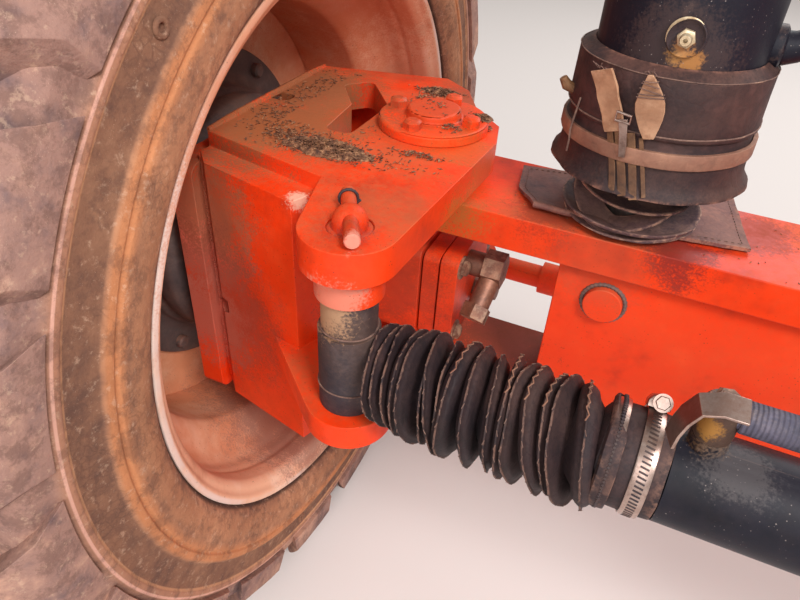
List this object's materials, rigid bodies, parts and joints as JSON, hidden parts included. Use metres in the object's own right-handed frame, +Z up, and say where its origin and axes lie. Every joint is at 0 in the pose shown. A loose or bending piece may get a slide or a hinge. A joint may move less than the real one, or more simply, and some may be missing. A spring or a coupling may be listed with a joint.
{
  "type": "steered drive axle of a boom lift",
  "caption": "Oscillating steered drive axle of a boom lift with filled lugged tyres, knuckles, steering cylinders in gaiters, tie rod and lockout cylinders.",
  "frame": {"origin": "middle of the oscillation pivot bore, at the height of the wheels' axis", "axes": "+X along the axle to the right, +Y to the back along the pivot bore, +Z up"},
  "size_m": [2.485, 1.0128, 1.0484],
  "materials": {
    "tyre_rubber": "dusty matte",
    "rim_white": "dusty satin",
    "drive_black": "dusty satin",
    "orange_paint": "satin",
    "fitting_steel": "rusty",
    "rod_steel": "worn",
    "gaiter_hide": "worn",
    "black_paint": "satin",
    "clamp_steel": "brushed",
    "hose_rubber": "matte",
    "boot_hide": "worn",
    "mat_hide": "worn",
    "bush_bronze": "satin"
  },
  "bodies": {
    "axle": {"axle_beam": "orange_paint", "pivot_bush": "bush_bronze", "cylinder_bracket": "orange_paint", "barrel_pins": "fitting_steel", "lockout_rod_left": "rod_steel", "boot_discs_left": "boot_hide", "mat_left": "mat_hide", "lockout_rod_right": "rod_steel", "boot_discs_right": "boot_hide", "mat_right": "mat_hide"},
    "steer_left": {"knuckle_left": "orange_paint", "kingpins_left": "orange_paint", "drive_motor_left": "orange_paint", "motor_fittings_left": "fitting_steel", "steer_pin_left": "orange_paint", "spindle_left": "drive_black", "tie_rod_pin_left": "fitting_steel"},
    "wheel_left": {"tyre_left": "tyre_rubber", "rim_left": "rim_white", "hub_left": "drive_black"},
    "barrel_left": {"steer_barrel_left": "black_paint", "gaiter_left": "gaiter_hide", "gaiter_clamps_left": "clamp_steel", "barrel_hose_left": "hose_rubber"},
    "rod_left": {"steer_rod_left": "rod_steel"},
    "lockout_left": {"lockout_barrel_left": "black_paint", "lockout_fittings_left": "fitting_steel", "boot_collar_left": "boot_hide"},
    "steer_right": {"knuckle_right": "orange_paint", "kingpins_right": "orange_paint", "drive_motor_right": "orange_paint", "motor_fittings_right": "fitting_steel", "steer_pin_right": "orange_paint", "spindle_right": "drive_black", "tie_rod_pin_right": "fitting_steel"},
    "wheel_right": {"tyre_right": "tyre_rubber", "rim_right": "rim_white", "hub_right": "drive_black"},
    "barrel_right": {"steer_barrel_right": "black_paint", "gaiter_right": "gaiter_hide", "gaiter_clamps_right": "clamp_steel", "barrel_hose_right": "hose_rubber"},
    "rod_right": {"steer_rod_right": "rod_steel"},
    "lockout_right": {"lockout_barrel_right": "black_paint", "lockout_fittings_right": "fitting_steel", "boot_collar_right": "boot_hide"},
    "tie_rod": {"tie_rod": "black_paint"}
  },
  "joints": [
    {"name": "steer_left", "type": "hinge", "parent": "axle", "child": "steer_left", "pos_m": [-0.7935, 0, 0], "axis": [0, 0, 1], "range_deg": [-30, 30]},
    {"name": "wheel_left", "type": "hinge", "parent": "steer_left", "child": "wheel_left", "pos_m": [-1.065, 0, 0], "axis": [1, 0, 0], "continuous": true},
    {"name": "barrel_left", "type": "hinge", "parent": "axle", "child": "barrel_left", "pos_m": [-0.11, -0.222, 0.036], "axis": [0, 0, 1], "range_deg": [-1, 1]},
    {"name": "rod_left", "type": "slide", "parent": "barrel_left", "child": "rod_left", "axis": [1, 0, 0], "range_m": [-0.115, 0.115], "deforming": ["gaiter_left"]},
    {"name": "lockout_left", "type": "slide", "parent": "axle", "child": "lockout_left", "axis": [0, 0, 1], "range_m": [0, 0.1]},
    {"name": "steer_right", "type": "hinge", "parent": "axle", "child": "steer_right", "pos_m": [0.7935, 0, 0], "axis": [0, 0, 1], "range_deg": [-30, 30]},
    {"name": "wheel_right", "type": "hinge", "parent": "steer_right", "child": "wheel_right", "pos_m": [1.065, 0, 0], "axis": [1, 0, 0], "continuous": true},
    {"name": "barrel_right", "type": "hinge", "parent": "axle", "child": "barrel_right", "pos_m": [0.11, -0.222, 0.036], "axis": [0, 0, 1], "range_deg": [-1, 1]},
    {"name": "rod_right", "type": "slide", "parent": "barrel_right", "child": "rod_right", "axis": [1, 0, 0], "range_m": [-0.115, 0.115], "deforming": ["gaiter_right"]},
    {"name": "lockout_right", "type": "slide", "parent": "axle", "child": "lockout_right", "axis": [0, 0, 1], "range_m": [0, 0.1]},
    {"name": "tie_rod", "type": "hinge", "parent": "steer_left", "child": "tie_rod", "pos_m": [-0.7935, 0.235, -0.125], "axis": [0, 0, 1], "range_deg": [-30, 30]}
  ],
  "couplings": [
    {"joint": "barrel_left", "follows": "steer_left", "ratio": -0.0272},
    {"joint": "rod_left", "follows": "steer_left", "m_per_rad": 0.211},
    {"joint": "steer_right", "follows": "steer_left", "ratio": 1},
    {"joint": "barrel_right", "follows": "steer_left", "ratio": -0.0272},
    {"joint": "rod_right", "follows": "steer_left", "m_per_rad": 0.211},
    {"joint": "tie_rod", "follows": "steer_left", "ratio": -1}
  ]
}
